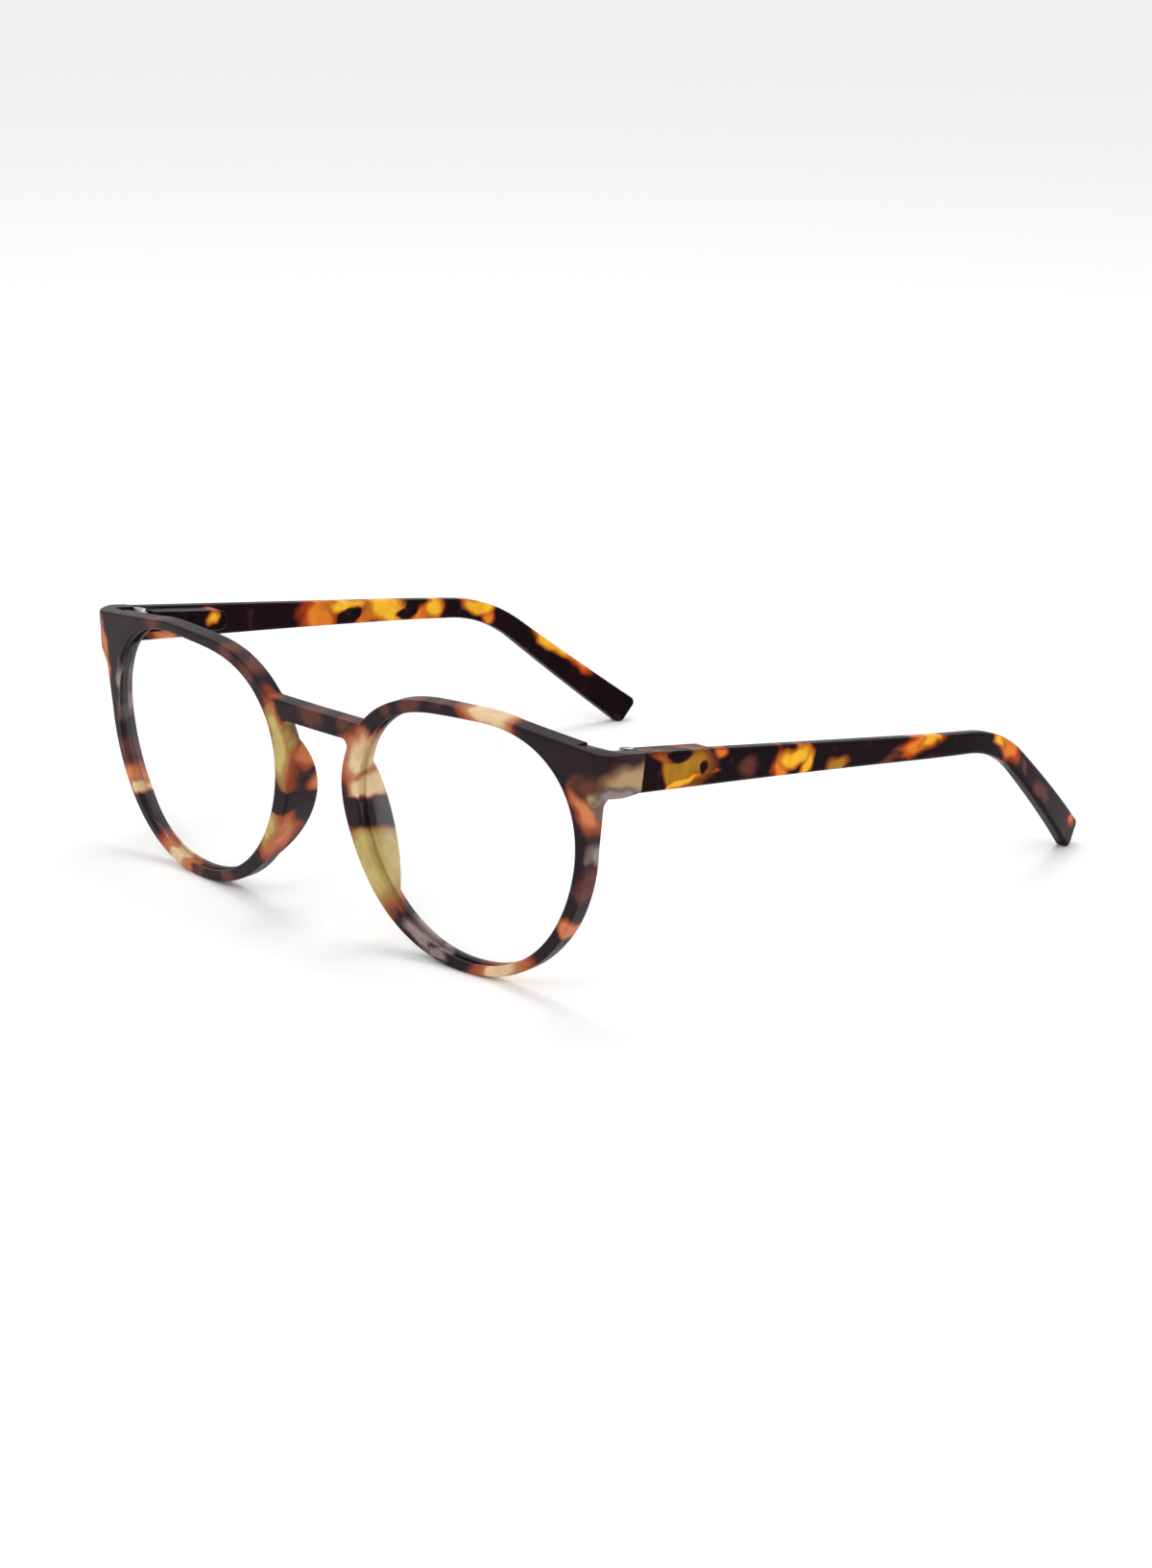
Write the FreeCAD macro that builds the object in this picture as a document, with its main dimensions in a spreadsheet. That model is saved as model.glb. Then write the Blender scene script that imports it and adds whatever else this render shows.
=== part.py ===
import FreeCAD, Part
import math
import os
import Sketcher

from FreeCAD import Placement, Rotation, Vector

# Spectacle frame with a one-piece front, two clear lenses and two temples on
# spring hinges. Every piece is modelled on the wearer's left (+X) in the wearing
# frame: X across the face, Y from the front towards the ears, Z up, with the
# temples' top edge at z = 0 and the front's outer corners at y = 0. The right side
# is a mirror image. At the end the whole frame is set down on its four feet.

doc = FreeCAD.newDocument("eyeglasses_frame")
sheet = doc.addObject("Spreadsheet::Sheet", "dimensions")

DIMENSIONS = [
    # front
    ("front_width", 138.0, "over the outer faces of the endpieces"),
    ("face_curve_radius", 480.0, "radius of the front seen from above"),
    ("front_thickness", 3.6, "depth of the rims and the bridge"),
    ("pantoscopic_tilt", 11.0, "the front leans in at the bottom, degrees"),
    ("eye_centre_x", 36.2, "half the distance between the lens centres"),
    ("eye_centre_z", -20.8, "lens centre, along the tilted front"),
    ("eye_radius", 23.75, "mean radius of the lens opening"),
    ("eye_widening", 1.3, "opening wider than high"),
    ("eye_taper", 1.0, "opening broad above, narrow below"),
    ("eye_squareness", 0.4, "opening flatter at top and sides"),
    ("eye_lean", 0.2, "upper outer corner drawn out"),
    ("eye_nose_reach", 0.2, "opening drawn towards the nose"),
    ("rim_width", 2.4, "mean face width of the rim"),
    ("rim_side_extra", 0.5, "rim broader at its sides than top and bottom"),
    ("rim_nose_extra", 0.45, "rim broader on the nose side"),
    ("pad_swelling", 1.0, "extra rim width at the nose pad"),
    ("pad_swelling_angle", 172.0, "where it sits round the rim, degrees"),
    ("pad_swelling_spread", 18.0, "how far it runs, degrees"),
    ("pad_depth", 8.0, "depth of the front through a nose pad"),
    ("pad_ball_radius", 20.0, "back of the nose pad is part of a ball"),
    ("pad_angle", 190.0, "centre of the nose pad round the rim, degrees"),
    ("pad_slope", 48.0, "nose pad faces the nose by this angle, degrees"),
    ("pad_edge_round", 0.8, "rounding of the nose pad's edges"),
    ("pad_edge_start", 0.9, "only edges this far behind the rim's back are rounded"),
    ("pad_inset", 0.03, "nose pad's walls stand in from the rim's by this much"),
    ("bridge_top", -5.6, "top edge of the bridge bar"),
    ("bridge_bottom", -9.1, "bottom edge of the bridge bar"),
    ("bridge_fillet", 1.2, "where the bar runs into the rims"),
    ("endpiece_root_angle", 62.0, "endpiece leaves the rim here, degrees"),
    ("endpiece_top", -0.95, "top edge at the outer corner"),
    ("endpiece_bottom", -8.2, "bottom edge at the outer corner"),
    ("endpiece_chin_x", 64.4, "lower end of the corner's bevel"),
    ("endpiece_chin_z", -10.4, "lower end of the corner's bevel"),
    ("corner_radius", 5.0, "outer corner seen from above"),
    ("inner_corner_radius", 1.5, "inner corner seen from above"),
    ("arm_lead", 0.5, "the endpiece's arm starts behind the front's face by this much"),
    ("endpiece_low_angle", 4.0, "the endpiece's bevel meets the rim here, degrees"),
    ("endpiece_cheek_angle", 32.0, "middle of the stretch where it covers the rim, degrees"),
    ("endpiece_inside_rim", 0.5, "the endpiece overlaps the rim to this far from the opening"),
    ("endpiece_shoulder_round", 0.8, "rounding where the lower edge turns down"),
    ("endpiece_chin_round", 3.0, "rounding where the bevel meets the rim"),
    ("butt_y", 8.2, "joint plane between front and temple"),
    ("front_edge_round", 0.45, "rounding of the front's edges"),
    # lenses
    ("lens_surface_radius", 200.0, "curvature of the lens front"),
    ("lens_thickness", 1.8, "demo lens thickness"),
    ("lens_setback", 0.9, "lens edge behind the rim's front"),
    ("lens_overlap", 0.7, "lens edge inside the rim groove"),
    ("lens_play", 0.04, "play between the lens and its groove"),
    # temples
    ("temple_thickness", 2.8, "across the blade"),
    ("temple_height_hinge", 6.85, "blade height at the joint"),
    ("temple_height_middle", 4.7, "blade height at its middle"),
    ("temple_height_bend", 3.8, "blade height before the bend"),
    ("temple_middle_share", 0.55, "where the middle height is, from the joint to the bend"),
    ("temple_height_tip", 6.1, "height of the squared tip"),
    ("temple_bend_y", 104.6, "where the top edge bends down"),
    ("temple_bend_angle", 30.0, "drop behind the ear, degrees"),
    ("temple_bend_radius", 36.0, "of the top edge through the bend"),
    ("temple_drop_length", 45.0, "from the bend to the tip"),
    ("temple_tip_round", 1.3, "corner radius of the tip"),
    ("temple_splay", 1.3, "the blade opens outwards, degrees"),
    ("temple_belly_radius", 3400.0, "slight hollow of the blade's lower edge"),
    ("temple_curl_start", 69.0, "blade runs straight this far from the joint"),
    ("temple_curl_radius", 208.0, "then it follows the head"),
    ("temple_edge_round", 0.7, "rounding of the blade's edges"),
    ("housing_reach", 3.6, "hinge housing stands proud of the blade"),
    ("housing_front", 2.1, "housing starts behind the hinge axis"),
    ("housing_length", 18.4, "length of the housing"),
    ("housing_height", 4.0, "height of the housing"),
    ("housing_round", 0.5, "rounding of the housing's face"),
    ("joint_gap", 0.06, "open seam between front and temple"),
    # hinge
    ("hinge_x", 64.5, "hinge axis across"),
    ("hinge_z", -2.4, "middle of the hinge"),
    ("knuckle_diameter", 3.0, "outside of the hinge eyes"),
    ("fixed_knuckle_height", 1.0, "each of the front leaf's two eyes"),
    ("slider_eye_height", 1.2, "the temple's eye"),
    ("washer_height", 0.16, "washer between two eyes"),
    ("washer_gap", 0.2, "room for it between the eyes"),
    ("washer_diameter", 2.7, "outside of the washers"),
    ("screw_diameter", 1.4, "shank of the hinge screw"),
    ("screw_head_diameter", 2.4, "head of the hinge screw"),
    ("screw_head_height", 0.6, "head of the hinge screw"),
    ("screw_end", 0.3, "shank proud of the lower eye"),
    ("screw_slot_width", 0.4, "screwdriver slot"),
    ("screw_slot_depth", 0.3, "screwdriver slot"),
    ("running_play", 0.03, "radial play of turning and sliding fits"),
    ("leaf_plate_y", 4.2, "front leaf's plate reaches this far back"),
    ("leaf_plate_thickness", 0.7, "front leaf's plate"),
    ("leaf_plate_inner_x", 60.4, "inner end of the leaf's plate"),
    ("leaf_plate_outer_x", 66.0, "outer end of the leaf's plate"),
    ("leaf_arm_width", 1.8, "arms from the leaf's plate to its eyes"),
    ("leaf_stud_diameter", 1.3, "studs set in the endpiece"),
    ("leaf_stud_length", 1.9, "studs set in the endpiece"),
    # spring hinge
    ("box_length", 14.0, "spring box, along the temple"),
    ("box_height", 3.0, "spring box"),
    ("box_thickness", 2.6, "spring box"),
    ("box_front", 4.0, "spring box starts behind the hinge axis"),
    ("box_bore", 2.0, "bore for the spring"),
    ("box_floor", 1.0, "closed back end of the box"),
    ("neck_width", 1.5, "flat neck between the slider's eye and its rod"),
    ("neck_length", 3.2, "from the hinge axis to the slider's shoulder"),
    ("rod_diameter", 0.9, "slider rod inside the spring"),
    ("rod_end", 15.4, "end of the slider rod behind the hinge axis"),
    ("bush_length", 1.4, "bush that closes the box mouth"),
    ("nut_length", 1.3, "nut on the end of the slider rod"),
    ("nut_diameter", 1.85, "nut on the end of the slider rod"),
    ("spring_wire", 0.3, "wire of the hinge spring"),
    ("spring_diameter", 1.88, "outside of the hinge spring"),
    ("spring_end_gap", 0.18, "wire's middle to the bush or nut at each end"),
    ("spring_coils", 9.0, "turns of the hinge spring"),
]


def fill_sheet():
    """One row per dimension: its value, its alias beside it, and a note."""
    for row, (alias, value, note) in enumerate(DIMENSIONS, start=1):
        sheet.set("A" + str(row), str(value))
        sheet.setAlias("A" + str(row), alias)
        sheet.set("B" + str(row), alias)
        sheet.set("C" + str(row), note)
    doc.recompute()


fill_sheet()


def size(alias):
    """A dimension read from the sheet."""
    return float(sheet.get(alias))


def cell(text):
    """A formula with each @alias written as its place in the sheet."""
    return text.replace("@", "dimensions.")


# ---------------------------------------------------------------- plain geometry

AXIS_X = Vector(1, 0, 0)
AXIS_Z = Vector(0, 0, 1)

# an edge counts as straight along an axis, and a point as on a plane, within these
UPRIGHT = 0.99
NEAR = 0.1

# tall enough below and above the front for anything swept upright
SPACE_LOW = -60.0
SPACE_HEIGHT = 80.0


def turned(direction, degrees, axis):
    """A direction turned about an axis."""
    return Rotation(axis, degrees).multVec(direction)


def rounded_outline(corners):
    """A closed wire through (point, radius) corners, each rounded by its radius."""
    count = len(corners)
    starts = []
    ends = []
    middles = []
    for index, (corner, radius) in enumerate(corners):
        before = (corners[index - 1][0] - corner).normalize()
        after = (corners[(index + 1) % count][0] - corner).normalize()
        half = before.getAngle(after) / 2
        inset = radius / math.tan(half)
        bisector = (before + after).normalize()
        centre_distance = radius / math.sin(half)
        starts.append(corner + before * inset)
        ends.append(corner + after * inset)
        middles.append(corner + bisector * (centre_distance - radius))
    edges = []
    for index, (corner, radius) in enumerate(corners):
        if radius > 0:
            edges.append(Part.Arc(starts[index], middles[index], ends[index]).toShape())
        following = (index + 1) % count
        edges.append(Part.LineSegment(ends[index], starts[following]).toShape())
    return Part.Wire(edges)


def prism(wire, direction):
    """The solid swept by a flat wire along a direction."""
    return Part.Face(wire).extrude(direction)


def box_between(low, high):
    """A box given by its lowest and highest corners."""
    span = Vector(*high) - Vector(*low)
    return Part.makeBox(span.x, span.y, span.z, Vector(*low))


def softened(solid, edges, radius):
    """The solid with the named edges rounded."""
    return solid.makeFillet(radius, edges)


# ---------------------------------------------------------------- outline of the eye

def eye_radius_at(angle):
    """Radius of the lens opening at an angle counted from the temple side."""
    return (
        size("eye_radius")
        + size("eye_widening") * math.cos(2 * angle)
        + size("eye_lean") * math.sin(2 * angle)
        + size("eye_taper") * math.sin(3 * angle)
        - size("eye_squareness") * math.cos(4 * angle)
        - size("eye_nose_reach") * math.cos(3 * angle)
    )


def rim_width_at(angle):
    """Face width of the rim at the same angle, with the swelling of the nose pad."""
    off_pad = (math.degrees(angle) - size("pad_swelling_angle")) / size("pad_swelling_spread")
    return (
        size("rim_width")
        - size("rim_nose_extra") * math.cos(angle)
        + size("rim_side_extra") * math.cos(2 * angle)
        + size("pad_swelling") * math.exp(-off_pad * off_pad)
    )


def eye_point(angle, outwards):
    """A point of the opening's outline, moved outwards, in the plane of the front."""
    radius = eye_radius_at(angle) + outwards
    across = size("eye_centre_x") + radius * math.cos(angle)
    height = size("eye_centre_z") + radius * math.sin(angle)
    return Vector(across, 0, height)


OUTLINE_POINTS = 36


def eye_outline(offset_at):
    """A smooth closed wire round the eye; offset_at gives the offset at an angle."""
    points = []
    for index in range(OUTLINE_POINTS):
        angle = 2 * math.pi * index / OUTLINE_POINTS
        points.append(eye_point(angle, offset_at(angle)))
    curve = Part.BSplineCurve()
    curve.interpolate(Points=points, PeriodicFlag=True)
    return Part.Wire(curve.toShape())


PRISM_FRONT = -20.0
PRISM_DEPTH = 50.0
BOOLEAN_TOLERANCE = 1e-4
FACE_TOLERANCE = 0.02


def eye_prism(offset_at):
    """The eye outline swept from well before the front to well behind it."""
    wire = eye_outline(offset_at)
    wire.translate(Vector(0, PRISM_FRONT, 0))
    return prism(wire, Vector(0, PRISM_DEPTH, 0))


def mirrored(shape):
    """The same shape on the other side of the face."""
    return shape.mirror(Vector(0, 0, 0), AXIS_X)


def curve_centre_y():
    """The front's face curve is centred here, behind the head."""
    half = size("front_width") / 2
    radius = size("face_curve_radius")
    return math.sqrt(radius * radius - half * half)


def front_surface_y(across):
    """Depth of the front's face at a distance from the middle."""
    radius = size("face_curve_radius")
    return curve_centre_y() - math.sqrt(radius * radius - across * across)


# ---------------------------------------------------------------- front

def front_band():
    """The front seen from above: a curved band with an arm back at each end."""
    half = size("front_width") / 2
    radius = size("face_curve_radius")
    thickness = size("front_thickness")
    low = SPACE_LOW
    height = SPACE_HEIGHT
    centre = Vector(0, curve_centre_y(), low)
    outer = Part.makeCylinder(radius, height, centre, AXIS_Z)
    inner = Part.makeCylinder(radius - thickness, height, centre, AXIS_Z)
    window = box_between((-half, -20, low), (half, 20, low + height))
    band = outer.cut(inner).common(window)
    arm = box_between(
        (half - size("temple_thickness"), front_surface_y(half) + size("arm_lead"), low),
        (half, 2 * size("butt_y"), low + height),
    )
    band = band.fuse([arm, mirrored(arm)]).removeSplitter()
    band = softened(band, upright_edges(band, half, 1.0), size("corner_radius"))
    inside_face = half - size("temple_thickness")
    inner_corners = upright_edges(band, inside_face, size("butt_y"))
    return softened(band, inner_corners, size("inner_corner_radius"))


def upright_edges(solid, across, behind):
    """The upright edges at a distance from the middle, ahead of a given depth."""
    return [
        edge for edge in solid.Edges
        if abs(edge.tangentAt(edge.FirstParameter).z) > UPRIGHT
        and abs(abs(edge.Vertexes[0].X) - across) < NEAR
        and edge.Vertexes[0].Y < behind
    ]


def endpiece_prism():
    """The flared corner between the rim and the temple, seen from the front."""
    half = size("front_width") / 2
    root_angle = math.radians(size("endpiece_root_angle"))
    root = eye_point(root_angle, rim_width_at(root_angle))
    low_angle = math.radians(size("endpiece_low_angle"))
    cheek_angle = math.radians(size("endpiece_cheek_angle"))
    inside_rim = size("endpiece_inside_rim")
    low_root = eye_point(low_angle, rim_width_at(low_angle))
    chin = Vector(size("endpiece_chin_x"), 0, size("endpiece_chin_z"))
    top = Vector(half + 1, 0, size("endpiece_top"))
    bottom = Vector(half + 1, 0, size("endpiece_bottom"))
    shoulder = Vector(half - 3, 0, size("endpiece_bottom"))
    inner_low = eye_point(low_angle, inside_rim)
    inner_cheek = eye_point(cheek_angle, inside_rim)
    inner_top = eye_point(root_angle, inside_rim)
    corners = [
        (root, 0), (top, 0), (bottom, 0),
        (shoulder, size("endpiece_shoulder_round")), (chin, size("endpiece_chin_round")),
        (low_root, 0), (inner_low, 0), (inner_cheek, 0), (inner_top, 0),
    ]
    wire = rounded_outline(corners)
    wire.translate(Vector(0, PRISM_FRONT, 0))
    return prism(wire, Vector(0, PRISM_DEPTH, 0))


def front_silhouette():
    """The front seen from ahead, swept through its depth and still without openings."""
    rim = eye_prism(rim_width_at)
    endpiece = endpiece_prism()
    reach = size("eye_centre_x") - size("eye_radius")
    bar = box_between(
        (-reach, PRISM_FRONT, size("bridge_bottom")),
        (reach, PRISM_FRONT + PRISM_DEPTH, size("bridge_top")),
    )
    whole = bar.fuse([rim, mirrored(rim), endpiece, mirrored(endpiece)]).removeSplitter()
    joints = []
    for edge in whole.Edges:
        start = edge.Vertexes[0].Point
        along_depth = abs(edge.tangentAt(edge.FirstParameter).y) > UPRIGHT
        on_bar = min(abs(start.z - size("bridge_top")), abs(start.z - size("bridge_bottom"))) < 0.01
        if along_depth and on_bar and abs(start.x) < reach:
            joints.append(edge)
    return softened(whole, joints, size("bridge_fillet"))


def nose_pad():
    """The rim's own nose pad: the nose side of the rim, swollen back as part of a ball."""
    inset = size("pad_inset")
    ring = eye_prism(lambda at: rim_width_at(at) - inset).cut(eye_prism(lambda at: inset))
    angle = math.radians(size("pad_angle"))
    seat = eye_point(angle, 0)
    radius = size("pad_ball_radius")
    deepest = front_surface_y(seat.x) + size("pad_depth")
    ball = Part.makeSphere(radius, Vector(seat.x, deepest - radius, seat.z))
    slope = size("pad_slope")
    across = Vector(-math.cos(math.radians(slope)), -math.sin(math.radians(slope)), 0)
    behind = across.cross(AXIS_Z)
    reach = 40.0
    keep = Part.makeBox(reach, reach, reach)
    keep.Placement = Placement(
        Vector(seat.x, deepest, seat.z) - across * (reach / 2) - AXIS_Z * (reach / 2),
        Rotation(across, behind, AXIS_Z, "XYZ"),
    )
    front_face = box_between(
        (0, front_surface_y(seat.x) + 1.0, -60),
        (size("eye_centre_x"), PRISM_FRONT + PRISM_DEPTH, 10),
    )
    pad = ring.common(ball).common(front_face).cut(keep)
    back_edges = []
    for edge in pad.Edges:
        middle = edge.valueAt((edge.FirstParameter + edge.LastParameter) / 2)
        if middle.y > front_surface_y(middle.x) + size("front_thickness") + size("pad_edge_start"):
            back_edges.append(edge)
    return softened(pad, back_edges, size("pad_edge_round"))


def lens_shell(grow):
    """The space between the lens surfaces, grown by a play on each."""
    centre_x = size("eye_centre_x")
    radius = size("lens_surface_radius")
    lean = math.degrees(math.asin(centre_x / size("face_curve_radius")))
    outwards = turned(Vector(0, -1, 0), lean, AXIS_Z)
    rim_centre = Vector(centre_x, front_surface_y(centre_x), size("eye_centre_z"))
    rise = size("eye_radius") ** 2 / (2 * radius)
    apex = rim_centre - outwards * (size("lens_setback") - rise)
    centre = apex - outwards * radius
    outer = Part.makeSphere(radius + grow, centre)
    inner = Part.makeSphere(radius - size("lens_thickness") - grow, centre)
    return outer.cut(inner)


def lens_shape(grow):
    """One lens, or with a play its groove."""
    window = box_between((5, -12, -60), (70, 14, 10))
    blank = eye_prism(lambda angle: size("lens_overlap") + grow).common(window)
    return blank.common(lens_shell(grow))


def tilted(shape):
    """A piece of the front leaned by the pantoscopic tilt."""
    copy = shape.copy()
    copy.rotate(Vector(0, 0, 0), AXIS_X, size("pantoscopic_tilt"))
    return copy


def leaf_recess():
    """Room in the endpiece for the front leaf's plate and studs."""
    low = size("leaf_plate_y") - size("leaf_plate_thickness")
    half_height = stack_height() / 2
    plate = box_between(
        (size("leaf_plate_inner_x"), low, size("hinge_z") - half_height),
        (size("leaf_plate_outer_x"), size("butt_y") + 5, size("hinge_z") + half_height),
    )
    studs = [stud_shape(across, size("leaf_stud_diameter") / 2) for across in stud_places()]
    return plate.fuse(studs)


def stack_height():
    """Height of the whole pile of hinge eyes and washers."""
    return 2 * size("fixed_knuckle_height") + 2 * size("washer_gap") + size("slider_eye_height")


def stud_places():
    """Where the leaf's two studs stand across the endpiece."""
    inner = size("leaf_plate_inner_x")
    outer = size("leaf_plate_outer_x")
    inset = size("leaf_stud_diameter")
    return [inner + inset, outer - inset]


def stud_shape(across, radius):
    """A stud that runs forwards from the leaf's plate into the endpiece."""
    back = size("leaf_plate_y") - size("leaf_plate_thickness")
    foot = Vector(across, back, size("hinge_z"))
    return Part.makeCylinder(radius, size("leaf_stud_length"), foot, Vector(0, -1, 0))


def face_edges(shape):
    """The edges that bound the front's curved front and back faces."""
    radius = size("face_curve_radius")
    centre = Vector(0, curve_centre_y(), 0)
    found = []
    for edge in shape.Edges:
        middle = edge.valueAt((edge.FirstParameter + edge.LastParameter) / 2)
        ends = [vertex.Point for vertex in edge.Vertexes] + [middle]
        reaches = [math.hypot(point.x - centre.x, point.y - centre.y) for point in ends]
        for surface in (radius, radius - size("front_thickness")):
            if all(abs(reach - surface) < FACE_TOLERANCE for reach in reaches):
                found.append(edge)
    return found


def front_shape():
    """The one-piece front."""
    body = front_silhouette().common([front_band()], BOOLEAN_TOLERANCE)
    opening = eye_prism(lambda angle: 0.0)
    body = body.cut([opening, mirrored(opening)]).removeSplitter()
    body = softened(body, face_edges(body), size("front_edge_round"))
    pad = nose_pad()
    groove = lens_shape(size("lens_play"))
    body = body.fuse([pad, mirrored(pad)]).cut([groove, mirrored(groove)])
    body = tilted(body.removeSplitter())
    half = size("front_width") / 2
    behind_joint = box_between((-80, size("butt_y"), -60), (80, 60, 20))
    hinge_room = leaf_recess()
    trim = box_between((half - 8, 0, 0), (half + 1, 3 * size("butt_y"), 10))
    body = body.cut([behind_joint, hinge_room, mirrored(hinge_room), trim, mirrored(trim)])
    return body.removeSplitter()


def feature(label, shape):
    """A free-form piece as an object of the document."""
    item = doc.addObject("Part::Feature", label)
    item.Label = label
    item.Shape = shape
    return item


# ---------------------------------------------------------------- temple

def temple_profile():
    """The blade seen from the side: a straight taper, a bend and a squared tip."""
    start = size("butt_y") + size("joint_gap")
    bend_y = size("temple_bend_y")
    drop = math.radians(size("temple_bend_angle"))
    length = size("temple_drop_length")
    flare = math.atan((size("temple_height_tip") - size("temple_height_bend")) / length) / 2
    middle_y = start + size("temple_middle_share") * (bend_y - start)
    bend_inset = size("temple_height_bend") * math.tan(drop / 2)
    top_bend = Vector(0, bend_y, 0)
    top_tip = top_bend + Vector(0, math.cos(drop - flare), -math.sin(drop - flare)) * length
    low_tip = top_tip - Vector(0, math.sin(drop), math.cos(drop)) * size("temple_height_tip")
    top_radius = size("temple_bend_radius")
    low_radius = top_radius - size("temple_height_bend")
    corners = [
        (Vector(0, start, 0), 0),
        (top_bend, top_radius),
        (top_tip, size("temple_tip_round")),
        (low_tip, size("temple_tip_round")),
        (Vector(0, bend_y - bend_inset, -size("temple_height_bend")), low_radius),
        (Vector(0, middle_y, -size("temple_height_middle")), size("temple_belly_radius")),
        (Vector(0, start, -size("temple_height_hinge")), 0),
    ]
    return rounded_outline(corners)


def blade_side(inset):
    """Corner points of one face of the blade seen from above: start, curl, middle, end."""
    heading = math.radians(size("temple_splay"))
    radius = size("temple_curl_radius")
    run = size("temple_curl_start")
    root = Vector(size("front_width") / 2, size("butt_y"), 0)
    along = Vector(math.sin(heading), math.cos(heading), 0)
    inwards = Vector(-math.cos(heading), math.sin(heading), 0)
    centre = root + along * run + inwards * radius
    points = [root + inwards * inset - along * 2.0, root + inwards * inset + along * run]
    for share in (0.5, 1.0):
        turn = heading - share * size("temple_drop_length") * 2 / radius
        points.append(centre + Vector(math.cos(turn), -math.sin(turn), 0) * (radius - inset))
    return points


def temple_plan():
    """The blade seen from above: straight, then curling in behind the head."""
    outer = blade_side(0)
    inner = blade_side(size("temple_thickness"))
    edges = [
        Part.LineSegment(outer[0], outer[1]).toShape(),
        Part.Arc(outer[1], outer[2], outer[3]).toShape(),
        Part.LineSegment(outer[3], inner[3]).toShape(),
        Part.Arc(inner[3], inner[2], inner[1]).toShape(),
        Part.LineSegment(inner[1], inner[0]).toShape(),
        Part.LineSegment(inner[0], outer[0]).toShape(),
    ]
    return Part.Wire(edges)


def hinge_point(across, along, up):
    """A point counted from the middle of the hinge axis."""
    return (size("hinge_x") + across, size("butt_y") + along, size("hinge_z") + up)


def housing_block():
    """The raised block on the blade's inner face that holds the spring box."""
    half = size("front_width") / 2
    inner_x = half - size("temple_thickness") - size("housing_reach") - size("hinge_x")
    outer_x = half - size("temple_thickness") / 2 - size("hinge_x")
    front_y = size("housing_front")
    back_y = front_y + size("housing_length")
    rise = size("housing_height") / 2
    block = box_between(hinge_point(inner_x, front_y, -rise), hinge_point(outer_x, back_y, rise))
    across = [
        edge for edge in block.Edges
        if abs(edge.tangentAt(0).x) > 0.99 and edge.Vertexes[0].Y > size("butt_y") + back_y - 0.1
    ]
    block = softened(block, across, rise - 0.1)
    face_x = size("hinge_x") + inner_x
    rim = [
        edge for edge in block.Edges
        if all(abs(vertex.X - face_x) < 0.01 for vertex in edge.Vertexes)
    ]
    return softened(block, rim, size("housing_round"))


def box_space():
    """The slot in the housing that takes the spring box."""
    half_x = size("box_thickness") / 2
    half_z = size("box_height") / 2
    return box_between(
        hinge_point(-half_x, size("housing_front") - 1, -half_z),
        hinge_point(half_x, size("box_front") + size("box_length"), half_z),
    )


def temple_shape():
    """One temple: the bent blade, its rounded edges and the hinge housing."""
    side = temple_profile()
    side.translate(Vector(30, 0, 0))
    plan = temple_plan()
    plan.translate(Vector(0, 0, -60))
    blade = prism(side, Vector(60, 0, 0)).common(prism(plan, Vector(0, 0, 80)))
    butt = size("butt_y") + size("joint_gap")
    edges = [
        edge for edge in blade.Edges
        if not all(abs(vertex.Y - butt) < 0.01 for vertex in edge.Vertexes)
    ]
    blade = softened(blade, edges, size("temple_edge_round"))
    return blade.fuse(housing_block()).cut(box_space()).removeSplitter()


# ---------------------------------------------------------------- bound pieces

def add(kind, name, **expressions):
    """An object of the document with its sizes bound to formulas."""
    item = doc.addObject(kind, name)
    for prop, formula in expressions.items():
        path = prop.replace("at_", "Placement.Base.")
        item.setExpression(path, cell(formula))
    return item


def bar(name, length, width, height, x, y, z):
    """A box centred across and in height, running back from y."""
    item = add(
        "Part::Box", name,
        Length=length, Width=width, Height=height,
        at_x="(" + x + ") - (" + length + ") / 2",
        at_y=y,
        at_z="(" + z + ") - (" + height + ") / 2",
    )
    return item


def disc(name, diameter, height, z):
    """An upright cylinder on the hinge axis whose middle is at z."""
    return add(
        "Part::Cylinder", name,
        Radius="(" + diameter + ") / 2",
        Height=height,
        at_z="(" + z + ") - (" + height + ") / 2",
    )


def fused(name, parts):
    """Several objects joined into one."""
    item = doc.addObject("Part::MultiFuse", name)
    item.Shapes = parts
    item.Refine = True
    return item


def cut(name, base, tool):
    """One object less another."""
    item = doc.addObject("Part::Cut", name)
    item.Base = base
    item.Tool = tool
    item.Refine = True
    return item


EYE_LEVEL = "(@slider_eye_height + @fixed_knuckle_height) / 2 + @washer_gap"
STACK = "(2 * @fixed_knuckle_height + 2 * @washer_gap + @slider_eye_height)"
HOLE = "(@screw_diameter + 2 * @running_play)"


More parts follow.
